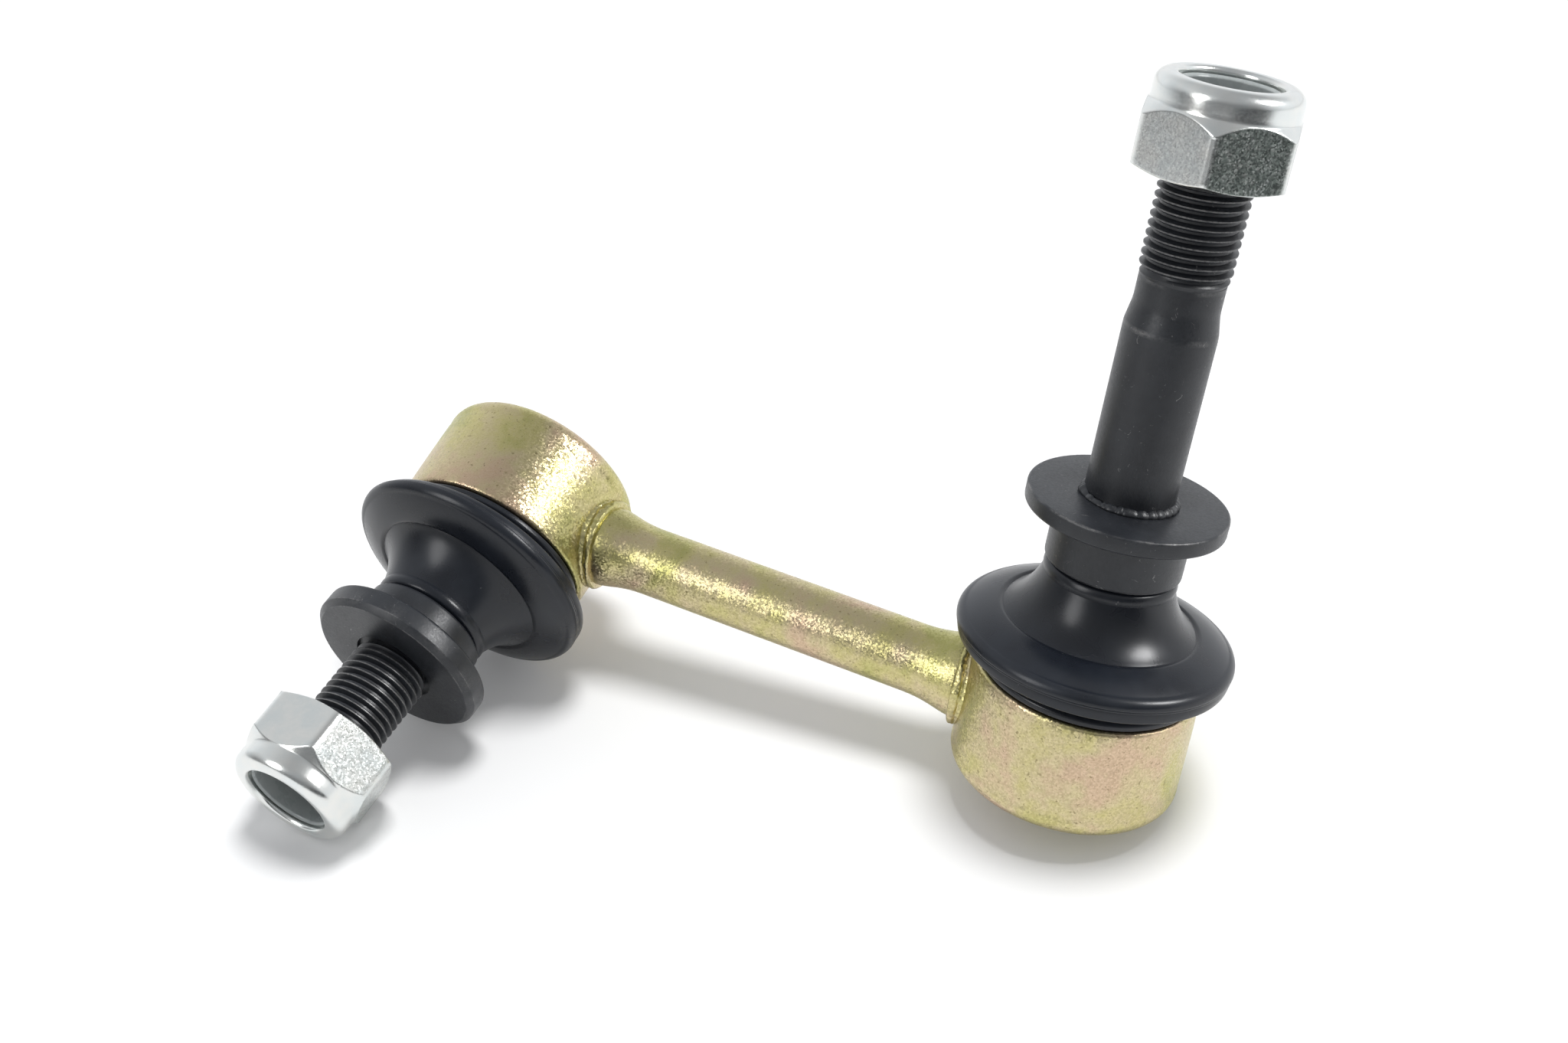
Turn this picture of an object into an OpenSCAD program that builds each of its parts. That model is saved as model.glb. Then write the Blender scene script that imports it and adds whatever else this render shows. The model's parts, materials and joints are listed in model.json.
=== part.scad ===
// Stabilizer link: a short welded rod with a ball joint at each end.
// It lies on a table as it was put down: on the rim of the right housing, the left boot and the left nut.
// Each end is drawn about its housing's axis, with 0 where the rod's axis crosses it.
// The studs lean a little in their joints, about the centres of their balls.

/* [Link] */
// Distance between the axes of the two ball joints
centre_distance = 93.8; // [84:0.2:130]
// Angle round the rod from the right ball joint's axis to the left one's
housing_angle = 117; // [90:0.5:150]
// How far the left stud leans over in its joint
left_lean = 3.5; // [0:0.1:5]
// Which way the left stud leans, round its housing
left_lean_turn = 128; // [0:1:359]
// How far the right stud leans over in its joint
right_lean = 2.7; // [0:0.1:5]
// Which way the right stud leans, round its housing
right_lean_turn = 117; // [0:1:359]
// How far the lying link is rolled about its rod
lie_roll = -10.38; // [-30:0.01:30]
// How far the lying link dips towards its right end
lie_pitch = 6.35; // [-15:0.01:15]

/* [Rod] */
// Diameter of the rod
rod_d = 10.5; // [8:0.1:12]
// Diameter of the upset end of the rod, at the weld
rod_end_d = 12.6; // [12.4:0.1:15]
// Length over which the rod swells to its upset end
rod_flare_l = 8; // [5:0.5:12]
// Diameter over the curled weld flash
flash_d = 14.6; // [14:0.1:17]
// Least length of the weld flash, where the housing stands out furthest
flash_w = 0.7; // [0.6:0.1:2]
// Rounding of the two lips of the weld flash
flash_lip_r = 0.45; // [0.3:0.05:0.6]

/* [Housing] */
// Outside diameter of the housing at its shoulder
housing_d = 32.2; // [31.8:0.2:36]
// Outside diameter of the housing at its base
housing_base_d = 33.2; // [32:0.2:38]
// Height of the housing's shoulder above the rod's axis
housing_rise = 8.4; // [7.4:0.1:11]
// Rounding of the housing's rolled bottom edge
housing_edge_r = 2.5; // [1:0.1:2.8]
// Diameter of the spigot that carries the boot
spigot_d = 26; // [25:0.2:28]
// Height of the spigot above the shoulder
spigot_h = 3; // [2.6:0.1:3.4]
// Diameter of the opening that the stud swings in, at the top of the seat
throat_d = 18.4; // [17:0.2:20]
// Thickness of the edge that is rolled over the closing plate
rolled_t = 0.6; // [0.4:0.1:1.5]
// Thickness of the closing plate
cap_t = 1.6; // [1:0.1:3]
// How far the closing plate reaches past the seat's bore
cap_ledge = 0.9; // [0.5:0.1:1]

/* [Ball joint] */
// Diameter of the ball
ball_d = 15; // [13:0.1:16]
// Height of the ball's centre above the rod's axis
ball_rise = 1; // [0:0.1:2]
// Running gap round the ball and round its seat
running_gap = 0.05; // [0.02:0.01:0.1]
// Outside diameter of the seat
seat_d = 24; // [22:0.2:24.6]
// Thickness of the seat under the ball
seat_floor = 0.7; // [0.4:0.1:1.5]
// Angle from the stud's axis at which the seat lets go of the ball
seat_angle = 60.5; // [58:0.5:66]

/* [Ball stud] */
// Diameter of the waist above the ball
waist_d = 8.4; // [7:0.1:9]
// Diameter of the stem that the boot grips, and nominal diameter of the thread
stem_d = 12; // [11:0.1:12]
// Height of the collar's underside above the rod's axis
collar_z = 25; // [24.5:0.1:30]
// Diameter of the collar under the flange
collar_d = 19; // [18:0.1:21]
// Diameter of the flange
flange_d = 27.6; // [25:0.1:30]
// Rounding of the flange's and collar's edges
flange_edge_r = 0.5; // [0.2:0.1:0.8]

/* [Left stud] */
// Height of the left stud's collar
left_collar_h = 3.9; // [3:0.1:8]
// Width of the groove between the left collar and flange
left_groove_w = 0.8; // [0.5:0.1:1.2]
// Depth of the groove between the left collar and flange
left_groove_depth = 0.9; // [0.5:0.1:1.5]
// Thickness of the left flange
left_flange_t = 3.7; // [2.5:0.1:5]
// Width of the bevel round the left flange's face
left_bevel = 0.9; // [0.4:0.1:1.2]
// Length of thread on the left stud
left_thread_l = 21.2; // [18:0.1:26]
// Depth of the undercut that ends the thread in the left flange's face
undercut_depth = 0.6; // [0.3:0.1:1]

/* [Right stud] */
// Height of the right stud's collar sleeve below its flange
right_collar_h = 7.6; // [5:0.1:12]
// Thickness of the right flange
right_flange_t = 2.4; // [2:0.1:4]
// Leg of the weld bead between flange and shank
bead_leg = 0.8; // [0.5:0.1:1]
// Diameter of the right stud's plain shank
shank_d = 12.4; // [12.4:0.1:13]
// Length from the right flange to the end of the plain shank
shank_l = 24.4; // [15:0.1:35]
// Length of the taper at the end of the plain shank
taper_l = 3.4; // [2:0.1:5]
// Diameter of the rolling blank below the right thread
blank_d = 11.3; // [10.5:0.1:11.6]
// Length of plain blank below the right thread
blank_l = 3.4; // [1:0.1:6]
// Length of thread on the right stud
right_thread_l = 20.6; // [18:0.1:28]

/* [Boot] */
// Diameter of the boot at its bulging rim
boot_d = 39.2; // [37:0.2:43]
// Height of the bulge's middle above the housing's shoulder
boot_rim_h = 5.1; // [4.8:0.1:6.5]
// Radius of the bulge
boot_rim_r = 1.4; // [1.2:0.1:1.8]
// Diameter of the clamped lip at the boot's foot
boot_lip_d = 31.6; // [30:0.1:32]
// Height of the clamped lip
boot_lip_h = 1.7; // [1.4:0.1:1.9]
// Thickness of the rubber
boot_wall = 1.7; // [1.2:0.1:2]
// Diameter of the mould line on the boot's dome
mould_line_d = 27.4; // [26:0.2:29]
// Outside diameter of the boot's neck
boot_neck_d = 18.4; // [17.4:0.1:19]
// Length of stem that the boot's neck grips
boot_grip_l = 4.5; // [3.5:0.1:5]
// Gap between the boot and the pieces it seals against
boot_gap = 0.2; // [0.1:0.05:0.3]
// Diameter of the wire of the clip round the boot's foot
clip_wire_d = 1.2; // [1:0.05:1.3]
// Diameter of the wire of the ring round the boot's neck
neck_wire_d = 1; // [0.8:0.05:1.1]

/* [Nut] */
// Width of the nut across its flats
nut_flats = 19; // [18:0.1:21]
// Height of the nut
nut_h = 12.2; // [11.6:0.1:14]
// Height of the hexagon's flats at their middle
nut_hex_h = 8.4; // [7.5:0.1:9]
// How far the corner chamfer drops below the top of the flats
nut_drop = 1.6; // [1:0.1:2.4]
// Rounding of the crimped collar's shoulder
nut_crimp_r = 2; // [1.2:0.1:2.2]
// Depth of the opening below the crimped collar's top
nut_mouth_depth = 0.6; // [0.3:0.1:1]
// Diameter of the opening in the crimped collar
nut_mouth_d = 12.9; // [12.5:0.1:13.5]
// Height of the nylon insert
insert_h = 2.9; // [2:0.1:3]
// Radial thickness of the nylon insert
insert_t = 1.7; // [1.2:0.1:2]
// Clearance of the thread in the nut and its insert
thread_gap = 0.05; // [0.02:0.01:0.1]
// Length of the stud that is screwed into the nut
nut_grip = 7.4; // [5:0.1:8]
// Turn of the left nut about its stud
left_nut_turn = 0; // [0:1:59]
// Turn of the right nut about its stud
right_nut_turn = 28; // [0:1:59]

/* [Hidden] */
$fn = 96;

zinc_yellow = [0.72, 0.62, 0.36];
black_steel = [0.17, 0.17, 0.18];
rubber_black = [0.08, 0.08, 0.09];
bright_zinc = [0.78, 0.80, 0.80];
seat_white = [0.90, 0.89, 0.84];
nylon_grey = [0.28, 0.30, 0.31];

// Heights in the ball joint, counted from the rod's axis along the housing
housing_r = housing_d / 2;
base_r = housing_base_d / 2;
ball_r = ball_d / 2;
seat_r = seat_d / 2;
stem_r = stem_d / 2;
seat_lip_h = 0.9;
seat_bottom = ball_rise - ball_r - running_gap - seat_floor;
seat_relief = ball_rise + ball_r * cos(seat_angle);
seat_top = seat_relief + seat_lip_h;
cap_top = seat_bottom - running_gap;
cap_bottom = cap_top - cap_t;
housing_bottom = cap_bottom - rolled_t;
base_z = housing_bottom + housing_edge_r;
draft = (base_r - housing_r) / (housing_rise - base_z);
mid_r = housing_r + draft * housing_rise;
spigot_r = spigot_d / 2;
spigot_top = housing_rise + spigot_h;
cap_r = seat_r + running_gap + cap_ledge;

// Heights on the boot
lip_bottom = housing_rise + boot_gap;
lip_top = lip_bottom + boot_lip_h;
clip_groove_r = boot_lip_d / 2 - clip_wire_d;
clip_z = lip_top + clip_wire_d / 2;
rim_z = housing_rise + boot_rim_h;
rim_centre_r = boot_d / 2 - boot_rim_r;
boot_neck_r = boot_neck_d / 2;
boot_top = collar_z - boot_gap;
neck_wire_z = boot_top - neck_wire_d;
neck_groove_r = boot_neck_r - neck_wire_d;
stem_start = boot_top - boot_grip_l;

// Heights on the studs and nuts, counted along the stud
left_flange_z = collar_z + left_collar_h + left_groove_w;
left_face_z = left_flange_z + left_flange_t;
left_stud_end = left_face_z + left_thread_l;
left_nut_z = left_stud_end - nut_grip;
right_flange_z = collar_z + right_collar_h;
right_face_z = right_flange_z + right_flange_t;
shank_end = right_face_z + shank_l;
taper_end = shank_end + taper_l;
thread_start = taper_end + blank_l;
right_stud_end = thread_start + right_thread_l;
right_nut_z = right_stud_end - nut_grip;
thread_chamfer = 1;
nut_bore_r = stem_r + thread_gap;
nut_flat_r = nut_flats / 2;
nut_crimp_edge = 0.08;
nut_crimp_max_r = nut_flat_r - nut_crimp_edge;
nut_corner_r = nut_flat_r / cos(30);
nut_foot_chamfer = 0.9;
nut_hex_turn = 9;

// Where the lying link's pieces are, before it is set down on the table
function turn_x(v, a) = [v[0], v[1] * cos(a) - v[2] * sin(a), v[1] * sin(a) + v[2] * cos(a)];
function turn_y(v, a) = [v[0] * cos(a) + v[2] * sin(a), v[1], v[2] * cos(a) - v[0] * sin(a)];
function turn_z(v, a) = [v[0] * cos(a) - v[1] * sin(a), v[0] * sin(a) + v[1] * cos(a), v[2]];
ball_centre = [0, 0, ball_rise];
left_centre = [-centre_distance / 2, 0, 0];
right_centre = [centre_distance / 2, 0, 0];
function lying(v) = turn_y(turn_x(v, lie_roll), lie_pitch);
function in_housing(side, v) =
  lying(side < 0 ? left_centre + turn_x(v, housing_angle) : right_centre + v);
function on_stud(side, v) =
  let (lean = side < 0 ? left_lean : right_lean, turn = side < 0 ? left_lean_turn : right_lean_turn)
  in_housing(side, ball_centre + turn_z(turn_y(turn_z(v - ball_centre, -turn), lean), turn));

// Rounded edges, each as the centre, direction, radius and rounding of a ring
function housing_ring(side, z, r, rounding) =
  let (foot = in_housing(side, [0, 0, z]))
  [foot, in_housing(side, [0, 0, z + 1]) - foot, r, rounding];
function stud_ring(side, z, r, rounding) =
  let (foot = on_stud(side, [0, 0, z]))
  [foot, on_stud(side, [0, 0, z + 1]) - foot, r, rounding];
rings = [
  for (side = [-1, 1]) each [
    housing_ring(side, base_z, base_r - housing_edge_r, housing_edge_r),
    housing_ring(side, rim_z, rim_centre_r, boot_rim_r),
    stud_ring(side, side < 0 ? left_flange_z + flange_edge_r : right_flange_z + flange_edge_r,
      flange_d / 2 - flange_edge_r, flange_edge_r),
    stud_ring(side, (side < 0 ? left_nut_z : right_nut_z) + nut_h - nut_crimp_r,
      nut_crimp_max_r - nut_crimp_r, nut_crimp_r)
  ]
];

// The corners of both hexagons
function nut_corner(side, z, k) =
  let (a = (side < 0 ? left_nut_turn : right_nut_turn) + nut_hex_turn + 60 * k)
  on_stud(side, [nut_corner_r * cos(a), nut_corner_r * sin(a), (side < 0 ? left_nut_z : right_nut_z) + z]);
corners = [
  for (side = [-1, 1], z = [nut_foot_chamfer, nut_hex_h - nut_drop], k = [0:5]) nut_corner(side, z, k)
];
function spread(e, i) = e[2] * sqrt(1 - e[1][i] * e[1][i]) + e[3];
low = [for (i = [0:2]) min([each [for (e = rings) e[0][i] - spread(e, i)], each [for (c = corners) c[i]]])];
high = [for (i = [0:2]) max([each [for (e = rings) e[0][i] + spread(e, i)], each [for (c = corners) c[i]]])];
set_down = [-(low[0] + high[0]) / 2, -(low[1] + high[1]) / 2, -low[2]];

module lay_down() {
  translate(set_down) rotate([lie_roll, lie_pitch, 0]) children();
}

module at_left() {
  lay_down() translate(left_centre) rotate([housing_angle, 0, 0]) children();
}

module at_right() {
  lay_down() translate(right_centre) children();
}

module leaning(lean, turn) {
  translate(ball_centre) rotate([0, 0, turn]) rotate([0, lean, 0]) rotate([0, 0, -turn])
    translate(-ball_centre) children();
}

module on_left_stud() {
  at_left() leaning(left_lean, left_lean_turn) children();
}

module on_right_stud() {
  at_right() leaning(right_lean, right_lean_turn) children();
}

// Points of an arc and of a smooth curve between two points with set end directions
function arc(c, r, a0, a1, n) =
  [for (i = [0:n]) let (a = a0 + (a1 - a0) * i / n) c + r * [cos(a), sin(a)]];
function curve(p0, p1, p2, p3, n) =
  [for (i = [0:n]) let (t = i / n, s = 1 - t)
    s * s * s * p0 + 3 * s * s * t * p1 + 3 * s * t * t * p2 + t * t * t * p3];

// Rod: plain bar, upset at both ends and coped to the housings

rod_half = centre_distance / 2 - mid_r;
function cope_depth(r) = mid_r - sqrt(mid_r * mid_r - r * r) + abs(draft) * r;
flash_start = rod_half - abs(draft) * flash_d / 2 - flash_w;

module housing_cope() {
  reach = 2 * rod_end_d;
  cylinder(h = 2 * reach, r1 = mid_r + draft * reach, r2 = mid_r - draft * reach, center = true);
}

module housing_copes() {
  translate(left_centre) rotate([housing_angle, 0, 0]) housing_cope();
  translate(right_centre) housing_cope();
}

module rod() {
  end_r = rod_end_d / 2;
  end_draft = 0.2;
  flare_start = flash_start - rod_flare_l;
  coped_end = rod_half + cope_depth(end_r);
  flare = curve([rod_d / 2, flare_start], [rod_d / 2, flare_start + rod_flare_l * 0.55],
    [end_r - end_draft, flash_start - rod_flare_l * 0.3], [end_r, flash_start], 10);
  half = concat([[0, 0], [rod_d / 2, 0]], flare, [[end_r, coped_end], [0, coped_end]]);
  color(zinc_yellow) lay_down() difference() {
    for (end = [-1, 1]) rotate([0, 90 * end, 0]) rotate_extrude() polygon(half);
    housing_copes();
  }
}

// Weld flash: the two curled lips that are squeezed out where the rod meets the housing

module rod_weld(end) {
  inner_r = rod_end_d / 2;
  outer_r = flash_d / 2;
  lip_centre_r = outer_r - flash_lip_r;
  coped_end = rod_half + cope_depth(outer_r);
  profile = concat(
    [[inner_r, flash_start]],
    arc([lip_centre_r, flash_start + flash_lip_r], flash_lip_r, -90, 60, 5),
    arc([lip_centre_r, flash_start + 3 * flash_lip_r], flash_lip_r, -60, 0, 3),
    [[outer_r, coped_end], [inner_r, coped_end]]
  );
  lay_down() difference() {
    rotate([0, 90 * end, 0]) rotate_extrude() polygon(profile);
    housing_copes();
  }
}

module left_rod_weld() {
  color(zinc_yellow) rod_weld(-1);
}

module right_rod_weld() {
  color(zinc_yellow) rod_weld(1);
}

// Housing: turned cup whose bottom edge is rolled over the closing plate

module housing() {
  bore_r = seat_r + running_gap;
  lip_under = seat_top + running_gap;
  shoulder_chamfer = 0.5;
  throat_r = throat_d / 2;
  throat_land = 0.8;
  spigot_wall = 1.4;
  rolled_reach = 1.6;
  rolled_r = cap_r - rolled_reach;
  rotate_extrude() difference() {
    union() {
      translate([0, housing_bottom]) square([base_r - housing_edge_r, housing_edge_r]);
      translate([base_r - housing_edge_r, base_z]) circle(r = housing_edge_r);
      polygon([
        [0, base_z], [base_r, base_z],
        [housing_r + draft * shoulder_chamfer, housing_rise - shoulder_chamfer],
        [housing_r - shoulder_chamfer, housing_rise],
        [spigot_r, housing_rise], [spigot_r, spigot_top], [0, spigot_top]
      ]);
    }
    polygon([
      [0, housing_bottom], [rolled_r, housing_bottom], [rolled_r, cap_bottom], [cap_r, cap_bottom],
      [cap_r, cap_top], [bore_r, cap_top], [bore_r, lip_under], [throat_r, lip_under],
      [throat_r, lip_under + throat_land], [spigot_r - spigot_wall, spigot_top], [0, spigot_top]
    ]);
  }
}

module left_housing() {
  color(zinc_yellow) at_left() housing();
}

module right_housing() {
  color(zinc_yellow) at_right() housing();
}

// Closing plate: pressed disc with a shallow dish, held by the rolled edge

module end_cap() {
  dish_edge = 3;
  dish_r = cap_r - dish_edge;
  dish_depth = cap_t * 0.4;
  rotate_extrude() polygon([
    [0, cap_bottom + dish_depth], [dish_r - dish_depth, cap_bottom + dish_depth], [dish_r, cap_bottom],
    [cap_r, cap_bottom], [cap_r, cap_top], [0, cap_top]
  ]);
}

module left_end_cap() {
  color(zinc_yellow) at_left() end_cap();
}

module right_end_cap() {
  color(zinc_yellow) at_right() end_cap();
}

// Ball seat: acetal cup that wraps the ball past its middle

module ball_seat() {
  cup_r = ball_r + running_gap;
  relief_gap = 0.2;
  relief_r = ball_r * sin(seat_angle) + relief_gap;
  // The cone is cut on past the seat's top, so that no film is left across its mouth
  relief_h = seat_lip_h + 0.5;
  difference() {
    translate([0, 0, seat_bottom]) cylinder(h = seat_top - seat_bottom, r = seat_r);
    translate(ball_centre) sphere(r = cup_r);
    translate([0, 0, seat_relief]) cylinder(h = relief_h, r1 = relief_r, r2 = relief_r + relief_h);
  }
}

module left_ball_seat() {
  color(seat_white) at_left() ball_seat();
}

module right_ball_seat() {
  color(seat_white) at_right() ball_seat();
}

// Ball studs: forged ball, waist and stem, then collar, flange and thread

waist_r = waist_d / 2;
waist_bury = 0.5;
waist_l = 2.5;
waist_start = ball_rise + sqrt(ball_r * ball_r - waist_r * waist_r) - waist_bury;
waist_end = waist_start + waist_l;
swell = (stem_start - waist_end) / 2;
waist = concat(
  [[0, ball_rise], [waist_r, waist_start]],
  curve([waist_r, waist_end], [waist_r, waist_end + swell], [stem_r, stem_start - swell / 2],
    [stem_r, stem_start], 8)
);

module left_ball_stud() {
  collar_r = collar_d / 2;
  collar_end = collar_z + left_collar_h;
  groove_r = collar_r - left_groove_depth;
  flange_r = flange_d / 2;
  undercut_w = 0.4;
  runout = 0.8;
  undercut_r = stem_r + undercut_w;
  relief_r = stem_r - runout;
  profile = concat(waist, [
    [stem_r, collar_z], [collar_r - flange_edge_r, collar_z], [collar_r, collar_z + flange_edge_r],
    [collar_r, collar_end], [groove_r, collar_end], [groove_r, left_flange_z]
  ], arc([flange_r - flange_edge_r, left_flange_z + flange_edge_r], flange_edge_r, -90, 0, 4), [
    [flange_r, left_face_z - left_bevel], [flange_r - left_bevel, left_face_z], [undercut_r, left_face_z],
    [undercut_r, left_face_z - undercut_depth], [relief_r, left_face_z - undercut_depth],
    [relief_r, left_face_z + undercut_depth], [stem_r, left_face_z + undercut_depth + runout],
    [stem_r, left_stud_end - thread_chamfer], [stem_r - thread_chamfer, left_stud_end], [0, left_stud_end]
  ]);
  color(black_steel) on_left_stud() {
    translate(ball_centre) sphere(r = ball_r);
    rotate_extrude() polygon(profile);
  }
}

module right_ball_stud() {
  shank_r = shank_d / 2;
  blank_r = blank_d / 2;
  runout = 0.6;
  profile = concat(waist, [
    [stem_r, right_face_z + bead_leg], [shank_r, right_face_z + bead_leg], [shank_r, shank_end],
    [blank_r, taper_end], [blank_r, thread_start], [stem_r, thread_start + runout],
    [stem_r, right_stud_end - thread_chamfer], [stem_r - thread_chamfer, right_stud_end],
    [0, right_stud_end]
  ]);
  color(black_steel) on_right_stud() {
    translate(ball_centre) sphere(r = ball_r);
    rotate_extrude() polygon(profile);
  }
}

// Right collar: turned sleeve with a flange, slid on the stem and welded there

bead_r = shank_d / 2 + bead_leg;

module right_collar() {
  collar_r = collar_d / 2;
  flange_r = flange_d / 2;
  color(black_steel) on_right_stud() rotate_extrude() polygon(concat(
    [[stem_r, collar_z], [collar_r - flange_edge_r, collar_z], [collar_r, collar_z + flange_edge_r],
      [collar_r, right_flange_z]],
    arc([flange_r - flange_edge_r, right_flange_z + flange_edge_r], flange_edge_r, -90, 0, 4),
    arc([flange_r - flange_edge_r, right_face_z - flange_edge_r], flange_edge_r, 0, 90, 4),
    [[bead_r, right_face_z], [stem_r, right_face_z - bead_leg]]
  ));
}

module right_collar_weld() {
  crown = [bead_r - bead_leg * 0.25, right_face_z + bead_leg * 0.6];
  color(black_steel) on_right_stud() rotate_extrude() polygon([
    [stem_r, right_face_z - bead_leg], [bead_r, right_face_z], crown,
    [shank_d / 2, right_face_z + bead_leg], [stem_r, right_face_z + bead_leg]
  ]);
}

// Dust boot: rubber skirt clamped to the housing, and a neck that follows the leaning stud

dome_rise = 1.9;
dome_z = rim_z + boot_rim_r + dome_rise;
line_r = mould_line_d / 2;

module boot_skirt() {
  lip_r = boot_lip_d / 2;
  foot_r = spigot_r + boot_gap;
  foot_flare = 0.6;
  groove_top = lip_top + clip_wire_d;
  tuck_in = 0.5;
  overlap = 2.4;
  under_r = rim_centre_r - tuck_in;
  inner_edge = line_r - overlap;
  crown = 0.5;
  bulge = arc([rim_centre_r, rim_z], boot_rim_r, -30, 75, 8);
  outside = concat(
    [[foot_r, lip_bottom], [lip_r, lip_bottom], [lip_r, lip_top], [clip_groove_r, lip_top],
      [clip_groove_r, groove_top]],
    curve([under_r, groove_top], [under_r + crown, groove_top], bulge[0] - [crown / 2, crown], bulge[0], 3),
    bulge,
    curve([rim_centre_r, rim_z + boot_rim_r], [rim_centre_r - dome_rise, dome_z - dome_rise * 0.7],
      [line_r + dome_rise, dome_z - crown], [inner_edge, dome_z + crown], 6)
  );
  inside = [
    [inner_edge, dome_z + crown - boot_wall], [line_r, dome_z - boot_wall],
    [rim_centre_r - boot_rim_r / 2, rim_z], [under_r - crown, groove_top + crown],
    [foot_r + foot_flare, spigot_top + boot_gap], [foot_r, spigot_top - boot_gap]
  ];
  rotate_extrude() polygon(concat(outside, inside));
}

module boot_neck() {
  bore_r = stem_r + boot_gap;
  edge_drop = 0.8;
  crown = 0.3;
  cuff = 0.5;
  neck_sweep = 3;
  inner_sweep = 4;
  ring_low = neck_wire_z - neck_wire_d / 2;
  ring_high = neck_wire_z + neck_wire_d / 2;
  outside = concat(
    [[line_r, dome_z - edge_drop]],
    curve([line_r - edge_drop, dome_z + crown], [line_r - 4 * edge_drop, dome_z + 2 * crown],
      [boot_neck_r, dome_z + neck_sweep], [boot_neck_r, ring_low - neck_wire_d], 8),
    [[boot_neck_r, ring_low], [neck_groove_r, ring_low], [neck_groove_r, ring_high],
      [boot_neck_r - cuff, ring_high], [boot_neck_r - cuff, boot_top], [bore_r, boot_top]]
  );
  inside = concat(
    [[bore_r, stem_start + cuff]],
    curve([bore_r + crown, stem_start], [bore_r + 2 * crown, dome_z],
      [line_r - inner_sweep, dome_z - boot_wall], [line_r - edge_drop, dome_z - boot_wall], 6)
  );
  rotate_extrude() polygon(concat(outside, inside));
}

module left_boot() {
  color(rubber_black) {
    at_left() boot_skirt();
    on_left_stud() boot_neck();
  }
}

module right_boot() {
  color(rubber_black) {
    at_right() boot_skirt();
    on_right_stud() boot_neck();
  }
}

// Clips: an open ring of spring wire in the boot's foot groove and a closed one round its neck

wire_slack = 0.05;

module boot_clip() {
  opening = 14;
  turn = 20;
  ring_r = clip_groove_r + boot_gap / 2 + clip_wire_d / 2;
  rotate([0, 0, turn]) rotate_extrude(angle = 360 - opening)
    translate([ring_r, clip_z]) circle(r = clip_wire_d / 2 - wire_slack);
}

module left_boot_clip() {
  color(black_steel) at_left() boot_clip();
}

module right_boot_clip() {
  color(black_steel) at_right() boot_clip();
}

module neck_ring() {
  ring_r = neck_groove_r + boot_gap / 2 + neck_wire_d / 2;
  rotate_extrude() translate([ring_r, neck_wire_z]) circle(r = neck_wire_d / 2 - wire_slack);
}

module left_neck_ring() {
  color(black_steel) on_left_stud() neck_ring();
}

module right_neck_ring() {
  color(black_steel) on_right_stud() neck_ring();
}

// Lock nuts: hexagon with a crimped collar over a nylon ring

mouth_r = nut_mouth_d / 2;
mouth_z = nut_h - nut_mouth_depth;
mouth_lip = 0.7;
insert_tuck = 0.2;
insert_r = mouth_r + insert_t - insert_tuck;
insert_top = mouth_z - mouth_lip;
insert_bottom = insert_top - insert_h;

module nut() {
  pocket_gap = 0.03;
  washer_step = 0.4;
  bore_chamfer = 0.7;
  waist_in = 0.15;
  mouth_ease = 0.4;
  waist_rise = waist_in * nut_drop / (nut_corner_r - nut_flat_r);
  crimp_centre = [nut_crimp_max_r - nut_crimp_r, nut_h - nut_crimp_r];
  outline = concat(
    [[0, 0], [nut_flat_r - washer_step, 0], [nut_corner_r, nut_foot_chamfer],
      [nut_corner_r, nut_hex_h - nut_drop], [nut_flat_r - waist_in, nut_hex_h + waist_rise]],
    arc(crimp_centre, nut_crimp_r, -15, 90, 8),
    curve([crimp_centre[0] - mouth_ease, nut_h], [mouth_r + mouth_ease, nut_h],
      [mouth_r, mouth_z + nut_mouth_depth / 2], [mouth_r, mouth_z], 3),
    [[0, mouth_z]]
  );
  difference() {
    intersection() {
      rotate([0, 0, nut_hex_turn]) cylinder(h = nut_h, r = nut_corner_r, $fn = 6);
      rotate_extrude() polygon(outline);
    }
    rotate_extrude() polygon([
      [0, 0], [nut_bore_r + bore_chamfer, 0], [nut_bore_r, bore_chamfer],
      [nut_bore_r, insert_bottom - pocket_gap], [insert_r + pocket_gap, insert_bottom - pocket_gap],
      [insert_r + pocket_gap, insert_top + pocket_gap], [mouth_r, insert_top + pocket_gap],
      [mouth_r, mouth_z], [0, mouth_z]
    ]);
  }
}

module nut_insert() {
  lead_in = 0.4;
  rotate_extrude() polygon([
    [nut_bore_r, insert_bottom], [insert_r, insert_bottom], [insert_r, insert_top],
    [nut_bore_r + lead_in / 2, insert_top], [nut_bore_r, insert_top - lead_in]
  ]);
}

module left_nut() {
  color(bright_zinc) on_left_stud() translate([0, 0, left_nut_z]) rotate([0, 0, left_nut_turn]) nut();
}

module right_nut() {
  color(bright_zinc) on_right_stud() translate([0, 0, right_nut_z]) rotate([0, 0, right_nut_turn]) nut();
}

module left_nut_insert() {
  color(nylon_grey) on_left_stud() translate([0, 0, left_nut_z]) nut_insert();
}

module right_nut_insert() {
  color(nylon_grey) on_right_stud() translate([0, 0, right_nut_z]) nut_insert();
}

rod();
left_rod_weld();
right_rod_weld();
left_housing();
right_housing();
left_end_cap();
right_end_cap();
left_ball_seat();
right_ball_seat();
left_ball_stud();
right_ball_stud();
right_collar();
right_collar_weld();
left_boot();
right_boot();
left_boot_clip();
right_boot_clip();
left_neck_ring();
right_neck_ring();
left_nut();
right_nut();
left_nut_insert();
right_nut_insert();
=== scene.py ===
import json
import math

import bmesh
import bpy
from mathutils import Matrix, Vector, noise


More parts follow.
